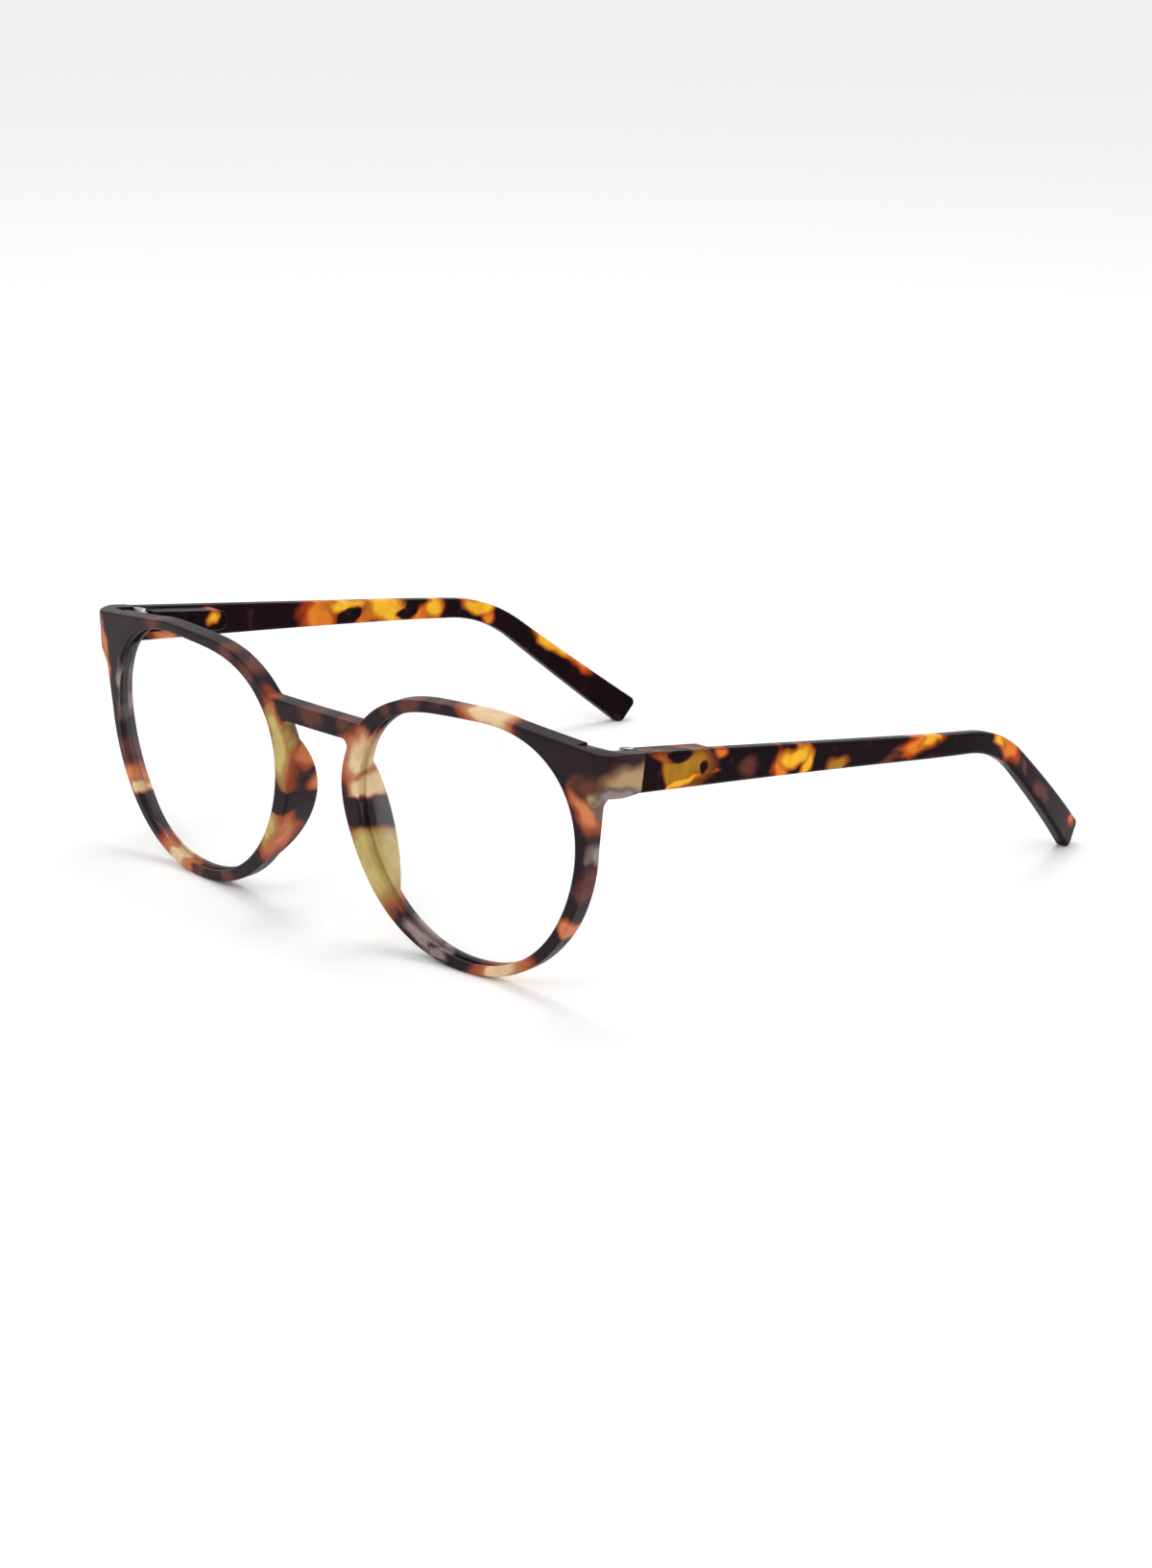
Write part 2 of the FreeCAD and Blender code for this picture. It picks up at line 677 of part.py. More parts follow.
def make_hinge_leaf():
    """Front leaf: a plate with two studs, and two eyes for the screw."""
    pieces = [
        bar(
            "leaf_plate",
            "@leaf_plate_outer_x - @leaf_plate_inner_x", "@leaf_plate_thickness", STACK,
            "(@leaf_plate_outer_x + @leaf_plate_inner_x) / 2 - @hinge_x",
            "@leaf_plate_y - @leaf_plate_thickness - @butt_y", "0",
        )
    ]
    for level, sign in (("top", "1"), ("low", "-1")):
        height = sign + " * (" + EYE_LEVEL + ")"
        pieces.append(disc("leaf_eye_" + level, "@knuckle_diameter", "@fixed_knuckle_height", height))
        pieces.append(
            bar(
                "leaf_arm_" + level,
                "@leaf_arm_width", "@butt_y - @leaf_plate_y + @leaf_plate_thickness / 2",
                "@fixed_knuckle_height",
                "0", "@leaf_plate_y - @leaf_plate_thickness / 2 - @butt_y", height,
            )
        )
    for side, place in (
        ("inner", "@leaf_plate_inner_x + @leaf_stud_diameter - @hinge_x"),
        ("outer", "@leaf_plate_outer_x - @leaf_stud_diameter - @hinge_x"),
    ):
        stud = add(
            "Part::Cylinder", "leaf_stud_" + side,
            Radius="@leaf_stud_diameter / 2",
            Height="@leaf_stud_length + @leaf_plate_thickness / 2",
            at_x=place,
            at_y="@leaf_plate_y - @leaf_plate_thickness / 2 - @butt_y",
        )
        stud.Placement.Rotation = Rotation(AXIS_X, 90)
        pieces.append(stud)
    blank = fused("leaf_blank", pieces)
    return cut("hinge_leaf", blank, disc("leaf_hole", HOLE, "2 * " + STACK, "0"))


def make_washers():
    """Two thin washers, above and below the slider's eye."""
    rings = []
    for level, sign in (("top", "1"), ("low", "-1")):
        height = sign + " * (@slider_eye_height + @washer_gap) / 2"
        ring = disc("washer_disc_" + level, "@washer_diameter", "@washer_height", height)
        hole = disc("washer_hole_" + level, HOLE, "2 * @washer_height", height)
        rings.append(cut("washer_" + level, ring, hole))
    pair = doc.addObject("Part::Compound", "hinge_washers")
    pair.Links = rings
    return pair


def make_slider():
    """The temple's eye, its flat neck and the rod that runs through the spring."""
    eye = disc("slider_eye", "@knuckle_diameter", "@slider_eye_height", "0")
    neck = bar("slider_neck", "@neck_width", "@neck_length", "@slider_eye_height", "0", "0", "0")
    rod = add(
        "Part::Cylinder", "slider_rod",
        Radius="@rod_diameter / 2",
        Height="@rod_end - @neck_length + @neck_width / 2",
        at_y="@neck_length - @neck_width / 2",
    )
    rod.Placement.Rotation = Rotation(AXIS_X, -90)
    blank = fused("slider_blank", [eye, neck, rod])
    return cut("spring_slider", blank, disc("slider_hole", HOLE, "2 * @slider_eye_height", "0"))


def origin_plane(body, role):
    """One of a body's own origin planes."""
    return next(item for item in body.Origin.OriginFeatures if item.Role == role)


def new_body(label):
    """A body with a label of its own."""
    body = doc.addObject("PartDesign::Body", label)
    body.Label = label
    return body


def sketch_on(body, role, name, lift="0"):
    """A sketch on one of the body's origin planes, lifted along its normal."""
    sketch = body.newObject("Sketcher::SketchObject", name)
    sketch.AttachmentSupport = [(origin_plane(body, role), "")]
    sketch.MapMode = "FlatFace"
    sketch.setExpression("AttachmentOffset.Base.z", cell(lift))
    return sketch


def draw_circle(sketch, name, diameter):
    """A circle about the sketch's origin."""
    circle = sketch.addGeometry(Part.Circle(Vector(0, 0, 0), AXIS_Z, 1.0))
    sketch.addConstraint(Sketcher.Constraint("Coincident", circle, 3, -1, 1))
    constraint = sketch.addConstraint(Sketcher.Constraint("Diameter", circle, 2.0))
    sketch.renameConstraint(constraint, name)
    sketch.setExpression("Constraints." + name, cell(diameter))


def draw_rectangle(sketch, name, width, height):
    """A rectangle about the sketch's origin."""
    corners = [Vector(-1, -1, 0), Vector(1, -1, 0), Vector(1, 1, 0), Vector(-1, 1, 0)]
    lines = []
    for index, corner in enumerate(corners):
        following = corners[(index + 1) % 4]
        lines.append(sketch.addGeometry(Part.LineSegment(corner, following)))
    for index, line in enumerate(lines):
        following = lines[(index + 1) % 4]
        sketch.addConstraint(Sketcher.Constraint("Coincident", line, 2, following, 1))
        direction = "Horizontal" if index % 2 == 0 else "Vertical"
        sketch.addConstraint(Sketcher.Constraint(direction, line))
    sketch.addConstraint(Sketcher.Constraint("Symmetric", lines[0], 1, lines[1], 2, -1, 1))
    across = sketch.addConstraint(Sketcher.Constraint("DistanceX", lines[0], 1, lines[0], 2, 2.0))
    sketch.renameConstraint(across, name + "_width")
    sketch.setExpression("Constraints." + name + "_width", cell(width))
    upright = sketch.addConstraint(Sketcher.Constraint("DistanceY", lines[1], 1, lines[1], 2, 2.0))
    sketch.renameConstraint(upright, name + "_height")
    sketch.setExpression("Constraints." + name + "_height", cell(height))


def extrude(body, kind, name, sketch, length, backwards=False):
    """A pad or a pocket of a sketch."""
    item = body.newObject("PartDesign::" + kind, name)
    item.Profile = sketch
    item.Reversed = backwards
    item.setExpression("Length", cell(length))
    sketch.Visibility = False
    return item


def make_screw():
    """The hinge screw: a round shank, a cheese head and its slot."""
    body = new_body("hinge_screw")
    top = STACK + " / 2"
    shank = sketch_on(body, "XY_Plane", "screw_shank_sketch", top)
    draw_circle(shank, "shank", "@screw_diameter")
    extrude(body, "Pad", "screw_shank", shank, STACK + " + @screw_end", backwards=True)
    head = sketch_on(body, "XY_Plane", "screw_head_sketch", top)
    draw_circle(head, "head", "@screw_head_diameter")
    extrude(body, "Pad", "screw_head", head, "@screw_head_height")
    doc.recompute()
    slot = sketch_on(body, "XY_Plane", "screw_slot_sketch", top + " + @screw_head_height")
    draw_rectangle(slot, "slot", "@screw_slot_width", "2 * @screw_head_diameter")
    extrude(body, "Pocket", "screw_slot", slot, "@screw_slot_depth")
    return body


def make_spring_box():
    """The metal box pressed into the temple, with its bore closed at the back."""
    body = new_body("spring_box")
    outline = sketch_on(body, "XZ_Plane", "box_sketch", "-@box_front")
    draw_rectangle(outline, "box", "@box_thickness", "@box_height")
    extrude(body, "Pad", "box_block", outline, "@box_length", backwards=True)
    doc.recompute()
    bore = sketch_on(body, "XZ_Plane", "box_bore_sketch", "-@box_front")
    draw_circle(bore, "bore", "@box_bore")
    extrude(body, "Pocket", "box_bore_cut", bore, "@box_length - @box_floor", backwards=False)
    return body


def make_ring_on_rod(label, start, length, outside, inside):
    """A ring about the slider rod: the stop bush or the end nut."""
    body = new_body(label)
    sketch = sketch_on(body, "XZ_Plane", label + "_sketch", "-(" + start + ")")
    draw_circle(sketch, "outside", outside)
    draw_circle(sketch, "inside", inside)
    extrude(body, "Pad", label + "_pad", sketch, length, backwards=True)
    return body


SPRING_SPACE = "(@rod_end - @nut_length - @box_front - @bush_length)"


def make_spring():
    """The compression spring between the bush and the nut."""
    helix = doc.addObject("Part::Helix", "spring_helix")
    spare = " - 2 * @spring_end_gap"
    helix.setExpression("Height", cell(SPRING_SPACE + spare))
    helix.setExpression("Pitch", cell("(" + SPRING_SPACE + spare + ") / @spring_coils"))
    helix.setExpression("Radius", cell("@spring_diameter / 2 - @spring_wire / 2"))
    section = doc.addObject("Part::Circle", "spring_section")
    section.setExpression("Radius", cell("@spring_wire / 2"))
    section.setExpression("Placement.Base.x", cell("@spring_diameter / 2 - @spring_wire / 2"))
    section.Placement.Rotation = Rotation(AXIS_X, 90)
    coil = doc.addObject("Part::Sweep", "hinge_spring")
    coil.Sections = [section]
    coil.Spine = (helix, ["Edge1"])
    coil.Solid = True
    coil.Frenet = True
    coil.Placement = Placement(Vector(0, 0, 0), Rotation(AXIS_X, -90))
    return coil


# ---------------------------------------------------------------- assembly

front = feature("front", front_shape())
lens = feature("left_lens", tilted(lens_shape(0.0)))
temple = feature("left_temple", temple_shape())

AT_HINGE = Placement(Vector(*hinge_point(0, 0, 0)), Rotation())
hinge_pieces = {
    "left_hinge_leaf": make_hinge_leaf(),
    "left_hinge_screw": make_screw(),
    "left_hinge_washers": make_washers(),
    "left_spring_slider": make_slider(),
    "left_spring_box": make_spring_box(),
    "left_stop_bush": make_ring_on_rod(
        "stop_bush", "@box_front", "@bush_length", "@box_bore", "@rod_diameter + 2 * @running_play"
    ),
    "left_slider_nut": make_ring_on_rod(
        "slider_nut", "@rod_end - @nut_length", "@nut_length", "@nut_diameter", "@rod_diameter"
    ),
    "left_hinge_spring": make_spring(),
}
doc.recompute()
for label, piece in hinge_pieces.items():
    piece.Label = label
    piece.Placement = AT_HINGE.multiply(piece.Placement)
spring_start = size("box_front") + size("bush_length") + size("spring_end_gap")
hinge_pieces["left_hinge_spring"].Placement.Base = Vector(*hinge_point(0, spring_start, 0))
doc.recompute()

left_pieces = [lens, temple] + list(hinge_pieces.values())


def lowest_point(points, y_from, y_to):
    """The lowest of the points whose depth lies in a range."""
    return min((point for point in points if y_from < point.y < y_to), key=lambda point: point.z)


def standing_placement():
    """Sets the frame down on its rims and temple tips, centred on the origin."""
    mesh_step = 0.02
    points = front.Shape.tessellate(mesh_step)[0] + temple.Shape.tessellate(mesh_step)[0]
    tip_from = size("temple_bend_y")
    turn = Rotation()
    for attempt in range(6):
        stood = [turn.multVec(point) for point in points]
        rim_foot = lowest_point(stood, -60, size("butt_y") + 10)
        tip_foot = lowest_point(stood, tip_from - 10, 2 * tip_from)
        slope = math.degrees(math.atan2(tip_foot.z - rim_foot.z, tip_foot.y - rim_foot.y))
        turn = Rotation(AXIS_X, -slope).multiply(turn)
    stood = [turn.multVec(point) for point in points]
    depths = [point.y for point in stood]
    floor = min(point.z for point in stood)
    return Placement(Vector(0, -(min(depths) + max(depths)) / 2, -floor), turn)


STANDING = standing_placement()
for piece in [front] + left_pieces:
    piece.Placement = STANDING.multiply(piece.Placement)
doc.recompute()


def right_hand(piece):
    """The mirror image of a left-hand piece, on the other side of the face."""
    twin = doc.addObject("Part::Mirroring", piece.Label.replace("left_", "right_"))
    twin.Label = piece.Label.replace("left_", "right_")
    twin.Source = piece
    twin.Base = Vector(0, 0, 0)
    twin.Normal = AXIS_X
    return twin


right_pieces = [right_hand(piece) for piece in left_pieces]
doc.recompute()


# ---------------------------------------------------------------- checks and files

def check_document():
    """Stops if any object failed, or if a sub-part's shape is empty or not valid."""
    for item in doc.Objects:
        if "Invalid" in item.State or "Error" in item.State:
            raise RuntimeError(item.Name + " failed to recompute")
    for piece in sub_parts:
        if piece.Shape.isNull() or not piece.Shape.isValid():
            raise RuntimeError(piece.Label + " has no valid shape")


sub_parts = [front] + left_pieces + right_pieces
check_document()

os.makedirs("parts", exist_ok=True)
for piece in sub_parts:
    piece.Shape.exportStep(os.path.join("parts", piece.Label + ".step"))
    print(piece.Label, len(piece.Shape.Solids), "solid(s),", round(piece.Shape.Volume, 2), "mm3")

hinge = STANDING.multVec(Vector(*hinge_point(0, 0, 0)))
hinge_axis = STANDING.Rotation.multVec(AXIS_Z)
print("hinge axis through", tuple(hinge), "along", tuple(hinge_axis))
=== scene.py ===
"""Looks for the eyeglasses frame: tortoiseshell plastic, clear lenses, metal hinges, a pale studio."""

import math

import bpy
from mathutils import Matrix, Vector


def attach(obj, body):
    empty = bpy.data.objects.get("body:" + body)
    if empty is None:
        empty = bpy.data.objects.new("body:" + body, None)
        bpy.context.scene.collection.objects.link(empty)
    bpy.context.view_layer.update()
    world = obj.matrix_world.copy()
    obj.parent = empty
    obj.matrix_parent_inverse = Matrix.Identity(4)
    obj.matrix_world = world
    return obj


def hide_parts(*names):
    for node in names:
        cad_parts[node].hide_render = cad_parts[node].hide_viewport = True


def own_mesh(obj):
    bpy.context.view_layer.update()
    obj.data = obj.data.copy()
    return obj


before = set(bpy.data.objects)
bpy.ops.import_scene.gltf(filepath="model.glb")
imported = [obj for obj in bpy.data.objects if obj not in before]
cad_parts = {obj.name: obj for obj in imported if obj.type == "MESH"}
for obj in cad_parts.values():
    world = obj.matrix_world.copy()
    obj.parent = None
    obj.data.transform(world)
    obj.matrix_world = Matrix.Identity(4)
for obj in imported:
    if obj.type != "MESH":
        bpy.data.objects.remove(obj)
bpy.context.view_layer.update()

MM = 0.001

# ---------------------------------------------------------------- sizes, millimetres
LENS_CENTRE_X = 36.2        # lens centre, either side of the middle
LENS_CENTRE_Z = 25.3        # lens centre, above the floor
FRONT_Y = -68.0             # middle of the front, fore and aft
BUTT_Y = -59.4              # joint between front and temple
TEMPLE_X = 67.5             # middle of a temple blade
TEMPLE_TOP_Z = 44.8         # top line of a temple, at the joint
TEMPLE_FALL = 0.1424        # its fall per millimetre along the temple
TEMPLE_SLOPE = 8.0          # the same fall in degrees, for the lean of the patches

# ---------------------------------------------------------------- camera
CAMERA_AT = Vector((0.44105, -0.45261, 0.19982))
CAMERA_FORWARD = Vector((-0.67323, 0.68268, -0.28438))
CAMERA_UP = Vector((-0.20764, 0.18411, 0.96072))
CAMERA_LENS = 78.74


def linear(code):
    """An sRGB colour code as linear RGBA."""
    channels = [int(code[i:i + 2], 16) / 255 for i in (1, 3, 5)]
    curve = [c / 12.92 if c <= 0.04045 else ((c + 0.055) / 1.055) ** 2.4 for c in channels]
    return (*curve, 1.0)


# ---------------------------------------------------------------- colours of the plastic
FRONT_BASE = linear("#200c15")
TEMPLE_BASE = linear("#15030a")
SHADES = {
    "cream": ("#6a2a18", "#b26f4a", "#dcbf93"),
    "khaki": ("#6a2a17", "#a07a3e", "#bfa965"),
    "tan": ("#3a1c18", "#7d5a3e", "#a88c66"),
    # the grey shade is partly painted highlight: at the bottom of the near rim its patches stand for a
    # purple-grey sheen painted into the colour
    "grey": ("#38282c", "#62504f", "#8d7e7a"),
    "orange": ("#55201a", "#a2492a", "#c8784a"),
    "rust": ("#2a1217", "#44201d", "#5c3027"),
    "amber": ("#43160c", "#7d4412", "#a8741f"),
    "flame": ("#4a150c", "#a83c10", "#de7a22"),
    "yellow": ("#55190a", "#c46a14", "#eeb32c"),
}


# ---------------------------------------------------------------- node helpers
class Nodes:
    """A material's node tree, with short calls for the nodes used here."""

    def __init__(self, name):
        self.material = bpy.data.materials.new(name)
        self.material.use_nodes = True
        self.tree = self.material.node_tree
        self.tree.nodes.clear()
        self.output = self.tree.nodes.new("ShaderNodeOutputMaterial")

    def add(self, kind, **settings):
        node = self.tree.nodes.new("ShaderNode" + kind)
        for name, value in settings.items():
            setattr(node, name, value)
        return node

    def link(self, source, target):
        self.tree.links.new(source, target)

    def math(self, operation, first, second=None):
        node = self.add("Math", operation=operation)
        for socket, value in zip(node.inputs, (first, second)):
            if isinstance(value, (int, float)):
                socket.default_value = value
            elif value is not None:
                self.link(value, socket)
        return node.outputs[0]

    def noise(self, place, scale, detail=2.0, roughness=0.5):
        node = self.add("TexNoise")
        node.inputs["Scale"].default_value = scale
        node.inputs["Detail"].default_value = detail
        node.inputs["Roughness"].default_value = roughness
        self.link(place, node.inputs["Vector"])
        return node

    def ramp(self, value, stops):
        """A colour ramp through (position, colour) stops."""
        node = self.add("ValToRGB")
        node.color_ramp.interpolation = "EASE"
        marks = node.color_ramp.elements
        while len(marks) < len(stops):
            marks.new(0.5)
        for mark, (position, colour) in zip(marks, stops):
            mark.position = position
            mark.color = colour
        self.link(value, node.inputs["Fac"])
        return node.outputs["Color"]

    def blend(self, amount, under, over):
        node = self.add("Mix", data_type="RGBA")
        self.link(amount, node.inputs["Factor"])
        for socket, value in ((node.inputs["A"], under), (node.inputs["B"], over)):
            if isinstance(value, tuple):
                socket.default_value = value
            else:
                self.link(value, socket)
        return node.outputs["Result"]

    def relief(self, height, strength, distance, shader):
        """Fine bumps on a shader's surface; distance in metres."""
        bump = self.add("Bump")
        bump.inputs["Strength"].default_value = strength
        bump.inputs["Distance"].default_value = distance
        self.link(height, bump.inputs["Height"])
        self.link(bump.outputs["Normal"], shader.inputs["Normal"])

    def surface(self, **values):
        shader = self.add("BsdfPrincipled")
        for name, value in values.items():
            shader.inputs[name.replace("_", " ")].default_value = value
        self.link(shader.outputs["BSDF"], self.output.inputs["Surface"])
        return shader


# ---------------------------------------------------------------- where the patches sit
def rim_middle(turn):
    """Distance from the lens centre to the middle of the rim, at an angle from the temple side."""
    opening = 23.75 + 1.3 * math.cos(2 * turn) + 0.2 * math.sin(2 * turn) + 1.0 * math.sin(3 * turn)
    opening -= 0.4 * math.cos(4 * turn) + 0.2 * math.cos(3 * turn)
    return opening + 1.3 - 0.3 * math.cos(turn)


def rim_place(side, angle, length, out=0.0, across=3.6, y=FRONT_Y, depth=9.0):
    """Centre, half sizes and turn of a patch along a rim; side is +1 for the wearer's left."""
    turn = math.radians(angle)
    radius = rim_middle(turn) + out
    centre = Vector((side * (LENS_CENTRE_X + radius * math.cos(turn)), y,
                     LENS_CENTRE_Z + radius * math.sin(turn)))
    return centre, (length / 2, depth, across), (0.0, math.radians(side * (90.0 - angle)), 0.0)


def temple_place(side, along, below, length, height, lean):
    """Centre, half sizes and turn of a patch on a temple, along it and below its top line."""
    centre = Vector((side * TEMPLE_X, BUTT_Y + along, TEMPLE_TOP_Z - TEMPLE_FALL * along - below))
    return centre, (8.0, length / 2, height / 2), (math.radians(lean - TEMPLE_SLOPE), 0.0, 0.0)


# side, angle and length of the dark bands
RIM_DARK = [(1, 186.0, 4.4), (-1, 189.0, 3.0)]
FACE = {"y": -71.0, "depth": 2.6}
WALL = {"y": -66.5, "depth": 3.2}

# angle round the rim, length, shade and, where needed, distance out, width and place fore and aft
NEAR_RIM = [
    (160, 8.0, "cream", {"out": -0.6, "across": 1.9}), (162, 10.0, "orange", {"across": 3.0}),
    (174, 5.4, "cream", {"out": -2.6, "across": 2.8}), (205, 11.5, "khaki", {"out": -0.3}),
    # the grey patches at 240 and 252 degrees are painted highlights, a sheen along the rim's lower edge
    # painted into the colour
    (205, 15.0, "orange", {"across": 4.4}), (240, 6.0, "grey", {"out": -0.8, "across": 1.2}),
    (252, 4.0, "grey", {"out": -0.8, "across": 0.9}), (132, 4.0, "rust", {"across": 1.6}),
    (118, 4.4, "rust", {"across": 2.0}), (103, 3.0, "rust", {"across": 1.6}),
    (74, 9.5, "cream", {"across": 2.6}), (77, 12.0, "orange", {"across": 3.0}),
    (288, 8.0, "cream", {"across": 2.0}), (289, 13.0, "orange", {"across": 2.8}),
    (331, 4.0, "orange", {"out": 1.2, "across": 1.3}), (4, 5.0, "grey", {"out": 1.6, "across": 1.0}),
    (352, 6.0, "rust", {"out": 1.3, "across": 1.0}),
]
FAR_RIM = [
    (166, 13.0, "khaki", {"out": -0.8, "across": 1.7, **FACE}),
    (165, 16.0, "orange", {"out": -0.3, "across": 2.2, **FACE}),
    (163, 4.4, "grey", {"out": 1.6, "across": 1.6, **WALL}),
    (171, 4.0, "orange", {"out": 2.2, "across": 1.6, **WALL}),
    (181, 3.6, "orange", {"out": 2.6, "across": 1.4, "y": -64.0, "depth": 2.4}),
    (204, 8.0, "khaki", {"out": -0.6, "across": 1.6, **FACE}),
    (206, 11.0, "orange", {"out": 0.4, "across": 2.4, "y": -69.8, "depth": 3.4}),
    (333, 5.0, "orange", {"across": 2.4}), (329, 2.6, "cream", {"out": -0.6, "across": 1.2}),
    (345, 4.0, "rust", {}), (288, 5.0, "cream", {"across": 1.8}), (288, 10.0, "orange", {"across": 2.4}),
    (270, 4.0, "rust", {"across": 2.0}), (246, 4.0, "rust", {"across": 2.0}),
    (133, 4.4, "rust", {"across": 2.2}), (120, 4.0, "rust", {"across": 1.8}),
    (62, 5.0, "rust", {"across": 2.0}), (12, 9.0, "grey", {"out": -0.8, "across": 1.0}),
]
# side, place, half sizes and shade
ENDPIECES = [
    (1, 63.2, -67.4, 36.4, (2.0, 3.4, 4.0), "orange"), (1, 64.8, -67.2, 39.6, (2.6, 3.0, 1.8), "rust"),
    (1, 69.0, -62.6, 40.4, (3.0, 4.0, 2.6), "tan"), (1, 68.4, -64.6, 38.0, (2.6, 2.6, 1.6), "grey"),
    (1, 65.6, -66.6, 37.2, (1.4, 2.6, 1.6), "tan"), (1, 66.0, -65.4, 33.4, (1.6, 3.0, 3.4), "grey"),
    (-1, 64.8, -68.0, 38.6, (1.1, 4.0, 4.4), "orange"), (-1, 67.5, -64.0, 38.0, (2.4, 4.0, 3.0), "rust"),
]
# across, height, half size and shade
BRIDGE = [(-11.6, 37.2, 1.9, "orange"), (9.0, 40.0, 1.8, "rust"), (-1.0, 39.6, 2.2, "rust")]

# along, below, length, height, shade, lean
NEAR_TEMPLE = [
    (8.4, 3.2, 14.0, 6.4, "amber", 0.0), (8.2, 5.4, 8.0, 1.3, "yellow", 0.0),
    (5.0, 1.2, 8.0, 1.6, "flame", 0.0), (19.0, 0.8, 3.4, 1.8, "flame", 0.0),
    (14.6, 2.6, 6.4, 4.0, "rust", 0.0), (15.6, 4.6, 4.6, 1.0, "flame", 0.0),
    (37.0, 1.6, 8.0, 2.6, "yellow", 0.0),
    (33.5, 3.2, 3.4, 5.0, "flame", 25.0), (40.2, 3.6, 2.6, 5.0, "yellow", -30.0),
    (48.1, 3.8, 4.6, 3.2, "amber", 10.0), (26.0, 4.2, 4.0, 2.6, "rust", 0.0),
    (70.1, 1.4, 13.0, 3.2, "flame", 12.0), (72.5, 1.2, 6.0, 1.8, "yellow", 12.0),
    (62.0, 3.4, 6.0, 1.6, "rust", 12.0), (97.0, 3.4, 9.0, 3.0, "flame", -34.0),
    (94.5, 2.6, 4.0, 1.6, "yellow", -34.0), (104.0, 7.5, 4.0, 1.6, "rust", -34.0),
    (112.0, 14.0, 8.0, 2.4, "rust", -38.0), (127.6, 21.0, 3.6, 3.6, "flame", -38.0),
    (128.4, 20.4, 1.8, 1.8, "yellow", -38.0),
]
NEAR_TEMPLE_DARK = [(0.8, 4.6, 6.0, 5.0, 0.0), (8.2, 0.6, 4.4, 1.6, 0.0), (14.0, 3.8, 1.6, 1.6, 20.0)]
FAR_TEMPLE = [
    (6.6, 5.0, 6.0, 2.8, "flame", 0.0), (16.7, 2.0, 3.6, 2.6, "yellow", 0.0),
    (48.0, 3.0, 8.0, 7.0, "flame", 0.0), (56.0, 0.8, 10.0, 2.4, "yellow", 0.0),
    (66.4, 2.0, 9.5, 6.4, "yellow", 0.0), (60.5, 4.2, 5.0, 3.4, "flame", 0.0),
    (77.5, 2.8, 8.0, 3.4, "flame", 30.0), (79.6, 1.4, 4.4, 3.4, "yellow", 30.0),
    (92.0, 1.2, 7.5, 3.2, "yellow", 0.0), (94.0, 3.8, 4.0, 3.0, "flame", -30.0),
    (111.0, 9.6, 12.0, 3.0, "yellow", -30.0), (117.5, 14.0, 8.0, 3.0, "flame", -36.0),
]
FAR_TEMPLE_DARK = [(56.3, 3.4, 4.6, 3.0, 25.0), (72.0, 2.6, 5.0, 1.6, 10.0), (74.0, 1.0, 3.0, 1.4, 25.0)]


# ---------------------------------------------------------------- tortoiseshell
PAINT_ORDER = ["orange", "flame", "rust", "tan", "grey", "amber", "khaki", "cream", "yellow"]
BURN = linear("#3c1d18")
SMUDGE_SCALE = 60.0
WANDER = 6.4                # how far patch edges run wild, millimetres
DARK_BITE = 1.5             # how strongly a dark patch eats into the others
FRONT_GLOSS = (0.40, 0.16)  # roughness and mirror strength
TEMPLE_GLOSS = (0.30, 0.04)
PATCH_SPREAD = 1.7          # a patch fades out this far beyond its stated size


def wavy_place(nodes):
    """The object's own coordinates, shifted a little this way and that so that patch edges run wild."""
    place = nodes.add("TexCoord").outputs["Object"]
    shifted = place
    for scale, amount in ((110.0, WANDER), (360.0, WANDER * 0.13)):
        noise = nodes.noise(place, scale)
        centred = nodes.add("VectorMath", operation="SUBTRACT")
        centred.inputs[1].default_value = (0.5, 0.5, 0.5)
        nodes.link(noise.outputs["Color"], centred.inputs[0])
        scaled = nodes.add("VectorMath", operation="SCALE")
        scaled.inputs["Scale"].default_value = amount * MM
        nodes.link(centred.outputs[0], scaled.inputs[0])
        moved = nodes.add("VectorMath", operation="ADD")
        nodes.link(shifted, moved.inputs[0])
        nodes.link(scaled.outputs[0], moved.inputs[1])
        shifted = moved.outputs[0]
    return place, shifted


def blob(nodes, place, centre, reach, turn):
    """1 at the middle of an ellipsoid, falling to 0 at its surface."""
    mapping = nodes.add("Mapping", vector_type="TEXTURE")
    mapping.inputs["Location"].default_value = tuple(c * MM for c in centre)
    mapping.inputs["Rotation"].default_value = turn
    mapping.inputs["Scale"].default_value = tuple(r * MM for r in reach)
    nodes.link(place, mapping.inputs["Vector"])
    gradient = nodes.add("TexGradient", gradient_type="SPHERICAL")
    nodes.link(mapping.outputs["Vector"], gradient.inputs["Vector"])
    return gradient.outputs["Fac"]


def strongest(nodes, fields):
    """The largest of several fields at each point, or None."""
    highest = None
    for field in fields:
        highest = nodes.math("MAXIMUM", highest, field) if highest else field
    return highest


def patch_field(nodes, place, centre, reach, turn):
    return blob(nodes, place, centre, [r * PATCH_SPREAD for r in reach], turn)


def dark_ground(nodes, place, wavy, base):
    """The dark plastic between the patches, with burnt specks in it."""
    depth_noise = nodes.noise(place, 130.0, 3.0)
    dark = tuple(c * 0.55 for c in base[:3]) + (1.0,)
    colour = nodes.ramp(depth_noise.outputs["Fac"], [(0.35, dark), (0.62, base)])
    haze = nodes.noise(wavy, 210.0, 2.0)
    speck = nodes.ramp(haze.outputs["Fac"], [(0.60, (0, 0, 0, 1)), (0.74, (0.75, 0.75, 0.75, 1))])
    return nodes.blend(speck, colour, BURN)


